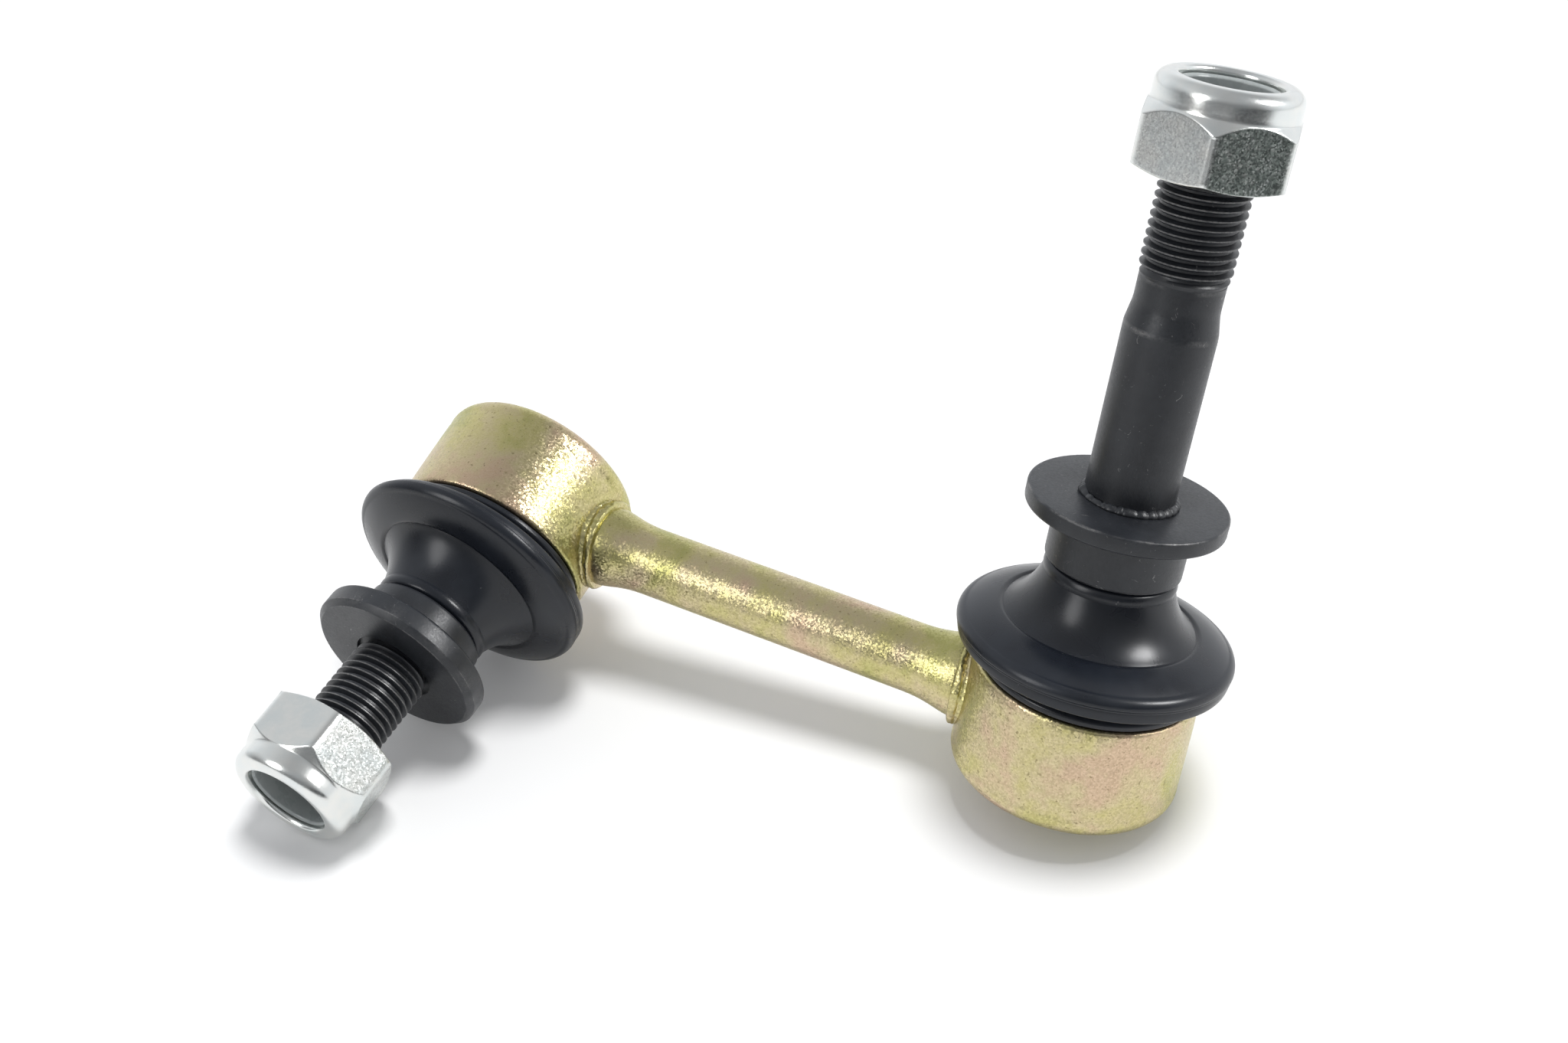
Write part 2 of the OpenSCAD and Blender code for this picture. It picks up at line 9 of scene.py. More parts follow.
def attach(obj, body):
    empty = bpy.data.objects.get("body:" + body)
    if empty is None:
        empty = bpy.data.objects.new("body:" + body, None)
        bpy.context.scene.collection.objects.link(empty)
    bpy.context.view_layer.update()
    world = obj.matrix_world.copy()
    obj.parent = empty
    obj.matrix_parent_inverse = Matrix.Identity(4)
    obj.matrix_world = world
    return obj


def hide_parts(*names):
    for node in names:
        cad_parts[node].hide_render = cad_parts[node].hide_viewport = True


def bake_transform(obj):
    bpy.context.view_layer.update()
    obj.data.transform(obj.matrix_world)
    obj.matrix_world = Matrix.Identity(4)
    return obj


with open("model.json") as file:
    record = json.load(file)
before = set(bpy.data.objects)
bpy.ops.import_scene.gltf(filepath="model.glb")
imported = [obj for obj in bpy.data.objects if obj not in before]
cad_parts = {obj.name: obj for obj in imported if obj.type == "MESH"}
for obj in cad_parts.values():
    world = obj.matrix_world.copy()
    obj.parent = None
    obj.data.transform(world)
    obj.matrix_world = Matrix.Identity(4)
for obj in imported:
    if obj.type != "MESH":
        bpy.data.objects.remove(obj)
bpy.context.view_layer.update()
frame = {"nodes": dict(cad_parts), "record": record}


# Studio: a white table under a round panel that lights matt faces, in a room with a bright back wall. Two
# window-like lights, to the right and at the front left, and a dark card show only as reflections. The
# camera looks down from the link's front right.

scene = bpy.context.scene
scene.view_settings.view_transform = "Standard"

lens = bpy.data.cameras.new("camera")
lens.lens = 41.13
lens.sensor_width = 36
lens.clip_start = 0.01
camera = bpy.data.objects.new("camera", lens)
camera.location = (0.098244, -0.174908, 0.184545)
camera.rotation_euler = [math.radians(a) for a in (54.7655, 2.0321, 25.7516)]
scene.collection.objects.link(camera)
scene.camera = camera


class Wire:
    """One output of a shader's nodes. Sums, products and comparisons of wires add Math nodes."""

    def __init__(self, tree, socket=None):
        self.tree = tree
        self.socket = socket

    def add(self, kind, inputs=(), output=0, stops=(), **settings):
        """A new node: its settings first, then its sockets' values or links. Gives the named output."""
        node = self.tree.nodes.new("ShaderNode" + kind)
        for key, value in settings.items():
            setattr(node, key, value)
        for index, (place, colour) in enumerate(stops):
            marks = node.color_ramp.elements
            mark = marks[index] if index < len(marks) else marks.new(place)
            mark.position = place
            mark.color = (*colour, 1)
        for key, value in dict(inputs).items():
            if isinstance(value, Wire):
                self.tree.links.new(value.socket, node.inputs[key])
            else:
                node.inputs[key].default_value = value
        return Wire(self.tree, node.outputs[output] if node.outputs else None)

    def maths(self, operation, first, second):
        return self.add("Math", {0: first, 1: second}, operation=operation)

    def __add__(self, other):
        return self.maths("ADD", self, other)

    __radd__ = __add__

    def __sub__(self, other):
        return self.maths("SUBTRACT", self, other)

    def __rsub__(self, other):
        return self.maths("SUBTRACT", other, self)

    def __mul__(self, other):
        return self.maths("MULTIPLY", self, other)

    __rmul__ = __mul__

    def between(self, low, high, to_low=0, to_high=1):
        """Spreads low..high over to_low..to_high, and stops there."""
        return self.add("MapRange", {0: self, 1: low, 2: high, 3: to_low, 4: to_high})

    def tinged(self, blend, colour):
        """This colour multiplied by another, or with another added to it."""
        return self.add("Mix", {0: 1.0, 6: self, 7: colour}, output=2, data_type="RGBA", blend_type=blend)

    def tint(self, without, fully):
        """The colour without this mask, going to another where the mask is 1."""
        return self.add("Mix", {0: self, 6: without, 7: fully}, output=2, data_type="RGBA")


def start_finish(name):
    """An empty material and the wire that its nodes are added from."""
    finish = bpy.data.materials.new(name)
    finish.use_nodes = True
    finish.node_tree.nodes.clear()
    return finish, Wire(finish.node_tree)


def flat_panel(name, half_x, half_y, finish):
    """A flat rectangle round the origin."""
    corners = ((-1, -1), (1, -1), (1, 1), (-1, 1))
    mesh = bpy.data.meshes.new(name)
    mesh.from_pydata([(x * half_x, y * half_y, 0) for x, y in corners], [], [(0, 1, 2, 3)])
    mesh.materials.append(finish)
    panel = bpy.data.objects.new(name, mesh)
    scene.collection.objects.link(panel)
    return panel


white_table, wire = start_finish("white_table")
seen = (
    wire.add("LightPath", output="Is Camera Ray")
    + wire.add("LightPath", output="Is Glossy Ray")
    + wire.add("LightPath", output="Is Transmission Ray")
)
table_top = wire.add("BsdfPrincipled", {
    "Base Color": (0.82, 0.82, 0.82, 1),
    "Roughness": 0.9,
    "Specular IOR Level": 0.1,
    "Emission Color": seen * 0.10,
    "Emission Strength": 1,
})
wire.add("OutputMaterial", {"Surface": table_top})
table_half = 3.0
table = flat_panel("table", table_half, table_half, white_table)

room = bpy.data.worlds.new("room")
scene.world = room
room.use_nodes = True
room.node_tree.nodes.clear()
wire = Wire(room.node_tree)
outlook = wire.add("TexCoord", output="Generated")
rightward, backward, upward = (wire.add("SeparateXYZ", {0: outlook}, output=axis) for axis in "XYZ")
walls = backward.between(-0.5, 0.35, 0.22, 1.05)
ceiling = rightward.between(-0.7, 0.1, 0.74, 0.42)
daylight = walls + (ceiling - walls) * upward.between(0.25, 0.7)
cool = daylight.tint((0, 0, 0, 1), (0.98, 1.0, 1.03, 1))
wire.add("OutputWorld", {"Surface": wire.add("Background", {"Color": cool, "Strength": 1.0})})


link_middle = Vector((0, 0, 0.04))


def hang_light(name, place, width, depth, power, mirrored=True, spread=True):
    """A soft round panel. It can be left out of reflections, or out of the light that falls on matt faces."""
    panel = bpy.data.lights.new(name, "AREA")
    panel.shape = "ELLIPSE"
    panel.size = width
    panel.size_y = depth
    panel.energy = power
    holder = bpy.data.objects.new(name, panel)
    holder.location = place
    holder.rotation_euler = (link_middle - Vector(place)).to_track_quat("-Z", "Y").to_euler()
    holder.visible_camera = False
    holder.visible_glossy = mirrored
    holder.visible_diffuse = spread
    scene.collection.objects.link(holder)


hang_light("window_right", (0.82, 0.23, 0.71), width=0.36, depth=0.36, power=8.0, spread=False)
hang_light("window_left", (-0.50, -0.86, 0.62), width=0.42, depth=0.85, power=4.0, spread=False)
hang_light("overhead", (0.25, 0.29, 2.15), width=0.75, depth=0.75, power=35.0, mirrored=False)

card_half = (0.30, 0.10)
dark_card, wire = start_finish("dark_card")
spread = wire.add("VectorMath", {
    0: wire.add("TexCoord", output="Object"), 1: (1 / card_half[0], 1 / card_half[1], 0),
}, operation="MULTIPLY")
cover = wire.add("VectorMath", {0: spread}, output="Value", operation="LENGTH").between(0.55, 1.0, 0.95, 0)
cloth = wire.add("BsdfDiffuse", {"Color": (0.05, 0.052, 0.055, 1)})
feathered = wire.add("MixShader", {0: cover, 1: wire.add("BsdfTransparent"), 2: cloth})
wire.add("OutputMaterial", {"Surface": feathered})
card = flat_panel("card", *card_half, dark_card)
card.location = (0.32, -0.20, 0.05)
right_boot_place = Vector((0.06, 0.03, 0.08))
card.rotation_euler = (right_boot_place - card.location).to_track_quat("Z", "Y").to_euler()
card.visible_camera = card.visible_diffuse = card.visible_shadow = False


# Rod: cold-drawn steel bar, 10.5 mm thick, upset at both ends and butt-welded to the housings. The whole
# weldment is shot-blasted and then yellow zinc plated, so it glitters and shows a faint rainbow mottle.

MM = 0.001
joints = {joint["name"]: joint for joint in frame["record"]["behaviour"]["joints"]}


def axis_of(joint):
    return Vector(joints[joint]["axis"]).normalized()


def standing_at(point, upright, sideways):
    """A place with z along upright and x as near to sideways as it can be, for points in millimetres."""
    z = upright.normalized()
    y = z.cross(sideways).normalized()
    turn = Matrix((y.cross(z), y, z)).transposed()
    return Matrix.Translation(point) @ turn.to_4x4() @ Matrix.Scale(MM, 4)


ball_rise = 1.0
left_up, right_up = axis_of("left_ball_swivel"), axis_of("right_ball_swivel")
left_ball, right_ball = (Vector(joints[side + "_ball_swivel"]["pos_m"]) for side in ("left", "right"))
left_foot, right_foot = left_ball - left_up * ball_rise * MM, right_ball - right_up * ball_rise * MM
along_rod = (right_foot - left_foot).normalized()
left_joint = standing_at(left_foot, left_up, along_rod)
right_joint = standing_at(right_foot, right_up, along_rod)
rod_place = standing_at((left_foot + right_foot) / 2, along_rod, right_up)


def swept(start, pull_start, pull_end, end, count):
    """Points of a smooth curve from start to end, led off towards one point and in from another."""
    points = []
    for i in range(count + 1):
        t = i / count
        weights = ((1 - t) ** 3, 3 * t * (1 - t) ** 2, 3 * t * t * (1 - t), t ** 3)
        points.append(tuple(
            sum(w * p[k] for w, p in zip(weights, (start, pull_start, pull_end, end))) for k in (0, 1)
        ))
    return points


def eased(corners, steps=4, loop=False):
    """An outline of (radius, height, ease) corners, each rounded off over its ease in millimetres."""
    outline = []
    for i, (r, z, *ease) in enumerate(corners):
        here = Vector((r, z))
        if not ease or not (loop or 0 < i < len(corners) - 1):
            outline.append((r, z))
            continue
        before = Vector(corners[i - 1][:2]) - here
        after = Vector(corners[(i + 1) % len(corners)][:2]) - here
        start = here + before.normalized() * min(ease[0], before.length / 2)
        end = here + after.normalized() * min(ease[0], after.length / 2)
        for k in range(steps + 1):
            t = k / steps
            outline.append(tuple(start * (1 - t) ** 2 + here * 2 * t * (1 - t) + end * t * t))
    return outline


def piece_of(name, points, faces, finish, sharp=35):
    """A mesh object with outward faces, smooth but for edges sharper than the given angle."""
    mesh = bpy.data.meshes.new(name)
    mesh.from_pydata(points, [], faces)
    shell = bmesh.new()
    shell.from_mesh(mesh)
    bmesh.ops.remove_doubles(shell, verts=shell.verts, dist=1e-7)
    bmesh.ops.dissolve_degenerate(shell, edges=shell.edges, dist=1e-7)
    bmesh.ops.recalc_face_normals(shell, faces=shell.faces)
    shell.to_mesh(mesh)
    shell.free()
    mesh.polygons.foreach_set("use_smooth", [True] * len(mesh.polygons))
    mesh.set_sharp_from_angle(angle=math.radians(sharp))
    mesh.materials.append(finish)
    piece = bpy.data.objects.new(name, mesh)
    scene.collection.objects.link(piece)
    return piece


def mark_wear(piece, name, wear):
    """A value from 0 to 1 on each point of a mesh, which its finish reads by name."""
    layer = piece.data.attributes.new(name, "FLOAT", "POINT")
    layer.data.foreach_set("value", [wear(vertex.co) for vertex in piece.data.vertices])


def turned(name, outline, place, finish, loop=False, around=160, shaped=None, sharp=35):
    """A piece turned from an outline of (radius, height) points, in millimetres, at its place."""
    points, rings = [], []
    for r, z in outline:
        if r < 1e-6 and not shaped:
            rings.append([len(points)] * around)
            points.append(place @ Vector((0, 0, z)))
            continue
        rings.append(range(len(points), len(points) + around))
        for k in range(around):
            a = 2 * math.pi * k / around
            ring_r, ring_z = shaped(r, z, a) if shaped else (r, z)
            points.append(place @ Vector((ring_r * math.cos(a), ring_r * math.sin(a), ring_z)))
    faces = []
    for low, high in zip(rings, rings[1:] + rings[:1] if loop else rings[1:]):
        for k in range(around):
            n = (k + 1) % around
            corners = list(dict.fromkeys((low[k], low[n], high[n], high[k])))
            if len(corners) > 2:
                faces.append(corners)
    return piece_of(name, points, faces, finish, sharp)


def fit(piece, body, slot, *nodes):
    """The piece stands for these nodes, which it hides, and moves with their body. The slot argument is not
    used.
    """
    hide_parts(*nodes)
    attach(piece, body)


def faceted(wire, cells, tilt):
    """The surface's direction, tilted its own way in each cell of a texture, so that grains glitter."""
    slant = wire.add("VectorMath", {0: cells, 1: (0.5, 0.5, 0.5)}, operation="SUBTRACT")
    slant = wire.add("VectorMath", {0: slant, "Scale": tilt}, operation="SCALE")
    facing = wire.add("VectorMath", {0: wire.add("NewGeometry", output="Normal"), 1: slant}, operation="ADD")
    return wire.add("VectorMath", {0: facing}, operation="NORMALIZE")


yellow_zinc, wire = start_finish("yellow_zinc")
spot = wire.add("TexCoord", output="Object")
cloud = wire.add("TexNoise", {"Vector": spot, "Scale": 85, "Detail": 2, "Roughness": 0.5, "Distortion": 0.6})
patch = wire.add("TexNoise", {"Vector": spot, "Scale": 300, "Detail": 4, "Roughness": 0.65})
grit = wire.add("TexNoise", {"Vector": spot, "Scale": 2600, "Detail": 2, "Roughness": 0.6})
grains = wire.add("TexVoronoi", {"Vector": spot, "Scale": 4200, "Randomness": 1}, output="Color")
pits = wire.add("TexNoise", {"Vector": spot, "Scale": 1900, "Detail": 1})
scuffs = wire.add("TexNoise", {
    "Vector": spot, "Scale": 420, "Detail": 5, "Roughness": 0.8, "Distortion": 2.6,
})
pick = wire.add("SeparateColor", {0: grains}, output="Red")
plating = wire.add("ValToRGB", {0: cloud * 0.7 + patch * 0.3}, stops=[
    (0.36, (0.46, 0.44, 0.16)),
    (0.45, (0.57, 0.51, 0.23)),
    (0.54, (0.60, 0.51, 0.30)),
    (0.64, (0.61, 0.45, 0.31)),
])
speck = pits.between(0.68, 0.73, 0, 0.5)
scuff = scuffs.between(0.70, 0.77, 0, 0.5)
dim_grain = plating.tinged("MULTIPLY", (0.86, 0.86, 0.84, 1))
bright_grain = plating.tinged("ADD", (0.07, 0.065, 0.05, 1))
grained = pick.tint(dim_grain, bright_grain)
shade = scuff.tint(speck.tint(grained, (0.16, 0.12, 0.05, 1)), (0.76, 0.75, 0.68, 1))
relief = wire.add("Bump", {
    "Strength": 0.15, "Distance": 0.00005, "Height": grit, "Normal": faceted(wire, grains, 0.24),
})
skin = wire.add("BsdfPrincipled", {
    "Base Color": shade,
    "Metallic": 1 - scuff * 0.6,
    "Roughness": pick.between(0, 1, 0.37, 0.29) + scuff * 0.15,
    "Normal": relief,
})
wire.add("OutputMaterial", {"Surface": skin})

rod_r, rod_end_r = 5.25, 6.3
weld_start = 29.59
rod_half = 30.53
rod_tip = rod_half + 1.2
flare = swept((rod_r, weld_start - 8), (rod_r, weld_start - 3.6), (rod_end_r - 0.2, weld_start - 2.4),
              (rod_end_r, weld_start), 18)
half_rod = [(rod_r, z * 2.0) for z in range(11)] + flare + [(rod_end_r, rod_tip), (0, rod_tip)]
rod_outline = [(r, -z) for r, z in reversed(half_rod)] + half_rod[1:]
rod = turned("drawn_rod", rod_outline, rod_place, yellow_zinc)
fit(rod, "link", "yellow_zinc", "rod")


# Weld flash: the two lips of metal that were squeezed out of the joint as each rod end was pressed
# into its housing. The outer lip curls back over the rod and the inner one hugs the housing; both are ragged.

housing_mid_r = 16.37
flash_r, lip_r = 7.3, 0.45


def arc(centre_r, centre_z, radius, degrees):
    """Points of a circle at these angles, as (radius, height)."""
    turns = [math.radians(a) for a in degrees]
    return [(centre_r + radius * math.cos(a), centre_z + radius * math.sin(a)) for a in turns]


def flash_ring(name, place, upright, seed):
    """Both lips in one ring; upright is the housing's axis, across which the ring follows the round wall."""
    across = (place.inverted().to_3x3() @ upright).normalized()
    quarter = math.atan2(across.y, across.x)

    def shaped(r, z, a):
        aside = r * math.sin(a - quarter)
        saddle = housing_mid_r - math.sqrt(housing_mid_r ** 2 - aside ** 2)
        near = min(1, max(0.25, (z - weld_start) / 1.4))
        at = Vector((math.cos(a) * 3.1, math.sin(a) * 3.1, z * 1.4 + seed))
        rag = noise.noise(at) * 0.16 + noise.noise(at * 3.7) * 0.13
        beads = abs(math.sin(a * 17 + 2.5 * noise.noise(at * 0.6))) * 0.16
        out = max(0, (r - rod_end_r) / (flash_r - rod_end_r))
        return r + out * (rag + beads * near - 0.1), z + near * saddle + out * rag * 0.5

    lips = [(rod_end_r - 0.5, weld_start - 0.05)]
    for centre, start, end in ((lip_r, -100, 75), (3 * lip_r, -75, 95)):
        degrees = [start + (end - start) * k / 8 for k in range(9)]
        lips += arc(flash_r - lip_r, weld_start + centre, lip_r, degrees)
    lips.append((rod_end_r - 0.5, weld_start + 4 * lip_r + 0.6))
    return turned(name, lips, place, yellow_zinc, loop=True, around=288, shaped=shaped, sharp=80)


to_left = rod_place @ Matrix.Rotation(math.pi, 4, "X")
fit(flash_ring("left_weld_flash", to_left, left_up, 3.0), "link", "yellow_zinc", "left_rod_weld")
fit(flash_ring("right_weld_flash", rod_place, right_up, 8.0), "link", "yellow_zinc", "right_rod_weld")


# Housings: turned and drawn steel cups, a little wider at the base. The bottom edge is rolled in over the
# closing plate, which leaves a soft crease round the wall; the spigot on top carries the boot.

roll_r = 2.5
roll = arc(14.1, -7, roll_r, range(-90, 1, 10))
housing_outline = [(11.35, -8.9), (11.35, -9.3), (11.6, -9.5)] + roll + [
    (16.565, -6.6), (16.52, -6.3), (16.50, -6.0), (16.51, -5.7), (16.53, -5.3), (16.48, -3),
    (16.40, 0), (16.30, 3), (16.18, 6), (16.12, 7.75), (16.02, 8.1), (15.8, 8.32), (15.5, 8.4),
    (13.0, 8.4), (13.0, 11.1), (12.7, 11.4), (11.6, 11.4), (9.2, 6.44), (9.2, 5.64), (12.05, 5.64),
    (12.05, -7.3), (12.95, -7.3), (12.95, -8.9),
]
for side, place in (("left", left_joint), ("right", right_joint)):
    cup = turned(side + "_cup", housing_outline, place, yellow_zinc, loop=True, around=192)
    fit(cup, "link", "yellow_zinc", side + "_housing")


# Closing plates: pressed steel discs with a shallow dish, plated together with the housings and held in
# the bottom of each cup by its rolled edge.

plate_outline = eased([
    (0, -8.26), (9.3, -8.26, 0.5), (10.2, -8.9, 0.4), (12.9, -8.9, 0.15), (12.9, -7.3, 0.15), (0, -7.3),
])
for side, place in (("left", left_joint), ("right", right_joint)):
    plate = turned(side + "_closing_plate", plate_outline, place, yellow_zinc, around=128)
    fit(plate, "link", "yellow_zinc", side + "_end_cap")


# Ball seats: acetal cups snapped round the balls. They sit wholly inside the housings, so the solids
# of the frame stay, in the plastic's own off-white.

acetal, wire = start_finish("acetal")
flow = wire.add("TexNoise", {"Vector": wire.add("TexCoord", output="Object"), "Scale": 300, "Detail": 3})
plastic = wire.add("BsdfPrincipled", {
    "Base Color": flow.tint((0.86, 0.85, 0.79, 1), (0.92, 0.91, 0.87, 1)),
    "Roughness": flow.between(0.3, 0.7, 0.32, 0.42),
})
wire.add("OutputMaterial", {"Surface": plastic})
for side in ("left", "right"):
    seat = frame["nodes"][side + "_ball_seat"]
    seat.data.materials.clear()
    seat.data.materials.append(acetal)


# Left ball stud: one forging, with the ball, a waist, the stem that the boot grips, a collar, a groove and
# a bevelled flange, all black phosphated and oiled. The thread is rolled right up to the flange.

black_steel, wire = start_finish("black_steel")
spot = wire.add("TexCoord", output="Object")
bloom = wire.add("TexNoise", {"Vector": spot, "Scale": 160, "Detail": 4, "Roughness": 0.6})
grain = wire.add("TexNoise", {"Vector": spot, "Scale": 2600, "Detail": 3, "Roughness": 0.65})
marks = wire.add("TexNoise", {"Vector": spot, "Scale": 620, "Detail": 3, "Roughness": 0.8, "Distortion": 1.6})
rubbed = wire.add("Attribute", attribute_name="rubbed", output="Fac")
scrape = marks.between(0.66, 0.75, 0, 0.4)
worn = (scrape + rubbed * grain.between(0.35, 0.6, 0.25, 1)).between(0, 1)
phosphate = bloom.between(0.3, 0.7).tint((0.0115, 0.0130, 0.0165, 1), (0.025, 0.0280, 0.0335, 1))
relief = wire.add("Bump", {"Strength": 0.3, "Distance": 0.00005, "Height": grain})
skin = wire.add("BsdfPrincipled", {
    "Base Color": worn.tint(phosphate, (0.42, 0.41, 0.40, 1)),
    "Metallic": worn * 0.8,
    "Roughness": grain.between(0.3, 0.7, 0.32, 0.46) - worn * 0.08,
    "Specular IOR Level": 0.5,
    "Normal": relief,
})
wire.add("OutputMaterial", {"Surface": skin})

pitch, thread_r, thread_depth = 1.25, 6.0, 0.76
left_lean = axis_of("left_stud_spin")
right_lean = axis_of("right_stud_spin")


def clamp(value):
    return max(0.0, min(1.0, value))


def leaning(ball, upright, lean):
    """The place of a stud, counted along it with the ball's centre at the ball's own height."""
    foot = ball - lean * ball_rise * MM
    return standing_at(foot, lean, upright.rotation_difference(lean) @ along_rod)


left_stud = leaning(left_ball, left_up, left_lean)
right_stud = leaning(right_ball, right_up, right_lean)


def threaded(name, place, low, high, low_r, runout, chamfer):
    """A rolled thread as one helical strip, fading in over its runout and chamfered at the tip."""
    steps = 96
    section = ((0.0, 0.0), (0.14, 0.0), (0.18, 0.13), (0.44, 1.0), (0.68, 1.0), (0.96, 0.13))
    turns = int((high - low) / pitch) + 3
    points = []
    for s in range(turns * steps + 1):
        a = 2 * math.pi * s / steps
        for share, depth in section:
            z = low + (s / steps + share - 1.5) * pitch
            z = min(high, max(low, z))
            r = thread_r - depth * thread_depth
            r = low_r + (r - low_r) * min(1, (z - low) / runout)
            r = min(r, thread_r - chamfer * max(0, 1 - (high - z) / chamfer))
            points.append(place @ Vector((r * math.cos(a), r * math.sin(a), z)))
    faces = []
    count = len(section)
    for s in range(turns * steps):
        for k in range(count):
            if k + 1 < count:
                faces.append((s * count + k, (s + 1) * count + k, (s + 1) * count + k + 1, s * count + k + 1))
            elif s + steps < turns * steps:
                n = s + steps
                faces.append((s * count + k, (s + 1) * count + k, (n + 1) * count, n * count))
    for z, r in ((low, low_r), (high, thread_r - chamfer)):
        hub = len(points)
        points.append(place @ Vector((0, 0, z)))
        for k in range(steps):
            a = 2 * math.pi * k / steps
            points.append(place @ Vector((r * math.cos(a), r * math.sin(a), z)))
        faces += [(hub, hub + 1 + k, hub + 1 + (k + 1) % steps) for k in range(steps)]
    piece = piece_of(name, points, faces, black_steel, sharp=28)
    away = place.inverted()
    crest_wear, crest_h = 0.38, 0.06

    def on_crest(at):
        return crest_wear * clamp(((away @ at).xy.length - thread_r + crest_h) / crest_h)

    mark_wear(piece, "rubbed", on_crest)
    return piece


def ball_outline(stem_start):
    """From the bottom of the ball up its side, through the waist to the start of the stem."""
    ball_r, waist_r, stem_r = 7.42, 4.2, 6.0
    ball_end = math.degrees(math.acos(waist_r / ball_r))
    ball = arc(0, ball_rise, ball_r, [-90 + (90 + ball_end) * k / 30 for k in range(31)])
    waist_end = ball[-1][1] + 2
    swell = (stem_start - waist_end) / 2
    return [(0, ball[0][1])] + ball[1:] + swept(
        (waist_r, waist_end), (waist_r, waist_end + swell),
        (stem_r, stem_start - swell / 2), (stem_r, stem_start), 10,
    )


stem_start = 20.3
left_outline = ball_outline(stem_start) + eased([
    (6, 21), (6, 25, 0.15), (9.5, 25, 0.5), (9.5, 28.9, 0.15), (8.6, 28.9, 0.1), (8.6, 29.7, 0.1),
    (13.8, 29.7, 0.5), (13.8, 32.5, 0.12), (12.9, 33.4, 0.15), (6.4, 33.4, 0.1), (6.4, 32.8, 0.05),
    (5.2, 32.8), (0, 32.8),
])


def rub_edges(piece, place, edges, width=0.16, strength=0.45):
    """Bright wear on the edges at these (radius, height) places."""
    away = place.inverted()

    def wear(at):
        r, z = (away @ at).xy.length, (away @ at).z
        near = max(max(0, 1 - math.hypot(r - edge_r, z - edge_z) / width) for edge_r, edge_z in edges)
        return strength * near * clamp(0.55 + 1.4 * noise.noise(at * 420))

    mark_wear(piece, "rubbed", wear)


forging = turned("left_forging", left_outline, left_stud, black_steel)
rub_edges(forging, left_stud, ((13.8, 32.5), (12.9, 33.4), (9.5, 28.9)))
fit(forging, "left_stud", "black_steel", "left_ball_stud")
thread = threaded("left_stud_thread", left_stud, low=32.8, high=54.6, low_r=5.2, runout=1.6, chamfer=1.0)
fit(thread, "left_stud", "black_steel", "left_ball_stud")


# Right ball stud: a longer forging with a plain ground shank above its collar, a short taper and a thinner
# blank on which the thread is rolled. It is black phosphated like the left one.

right_outline = ball_outline(stem_start) + eased([
    (6, 21), (6, 35.8), (6.2, 35.8), (6.2, 59.4, 0.5), (5.65, 62.4, 0.6), (5.65, 65.4), (5.65, 65.8),
    (5.65, 66.2), (0, 66.2),
])
shank = turned("right_forging", right_outline, right_stud, black_steel)
rub_edges(shank, right_stud, ((6.2, 59.4), (5.65, 66.0)), width=0.5)
fit(shank, "right_stud", "black_steel", "right_ball_stud")
thread = threaded("right_stud_thread", right_stud, low=66.0, high=86.8, low_r=5.65, runout=1.5, chamfer=1.0)
fit(thread, "right_stud", "black_steel", "right_ball_stud")


# Right collar: a flanged sleeve turned from bar, slid on the stem against the boot and fixed by a small
# hand-laid weld bead round the foot of the shank.

collar_outline = eased([
    (6, 25, 0.05), (9.5, 25, 0.4), (9.5, 32.6, 0.15), (13.8, 32.6, 0.45), (13.8, 35, 0.35), (6.5, 35, 0.05),
    (6, 34.2, 0.05),
], loop=True)
sleeve = turned("right_flanged_sleeve", collar_outline, right_stud, black_steel, loop=True)
rub_edges(sleeve, right_stud, ((13.7, 34.9), (9.4, 25.1)), width=0.22)
fit(sleeve, "right_stud", "black_steel", "right_collar")


flange_top = 35


def beaded(r, z, a):
    """Swells the bead's outside unevenly, in ripples as a welder's hand lays them."""
    at = Vector((math.cos(a) * 4, math.sin(a) * 4, 1.7))
    swing = noise.noise(at * 0.8)
    ripple = abs(math.sin(a * 14 + 3.5 * swing)) ** 0.7
    out = clamp((r - 6.2) / 0.45)
    above = max(0, z - flange_top)
    return r + out * (0.16 * ripple + 0.26 * swing - 0.05), z + above * (0.3 * ripple + 0.6 * swing - 0.15)


bead_outline = [
    (6.0, 34.5), (6.7, 34.95), (6.78, 35.08), (6.74, 35.25), (6.6, 35.45), (6.4, 35.62), (6.2, 35.75),
    (6.0, 35.75),
]
bead = turned(
    "right_sleeve_bead", bead_outline, right_stud, black_steel, loop=True, around=320, shaped=beaded, sharp=70
)
fit(bead, "right_stud", "black_steel", "right_collar_weld")


# Dust boots: moulded chloroprene bellows, filled with grease. The foot is clamped on the housing's shoulder
# by a wire clip; the dome runs over a bulging rim to a neck that hugs the stem under the collar.

rubber, wire = start_finish("rubber")
spot = wire.add("TexCoord", output="Object")
bloom = wire.add("TexNoise", {"Vector": spot, "Scale": 120, "Detail": 3, "Roughness": 0.6})
pores = wire.add("TexNoise", {"Vector": spot, "Scale": 3000, "Detail": 2})
dust = wire.add("TexNoise", {"Vector": spot, "Scale": 900, "Detail": 2, "Roughness": 0.7})
lint = dust.between(0.74, 0.80, 0, 0.3)
relief = wire.add("Bump", {"Strength": 0.10, "Distance": 0.00004, "Height": pores})
black = bloom.between(0.3, 0.7).tint((0.0076, 0.0094, 0.0137, 1), (0.0142, 0.0174, 0.0245, 1))
skin = wire.add("BsdfPrincipled", {
    "Base Color": lint.tint(black, (0.30, 0.30, 0.30, 1)),
    "Roughness": bloom.between(0.3, 0.7, 0.24, 0.33),
    "Specular IOR Level": 0.42,
    "Normal": relief,
})
wire.add("OutputMaterial", {"Surface": skin})

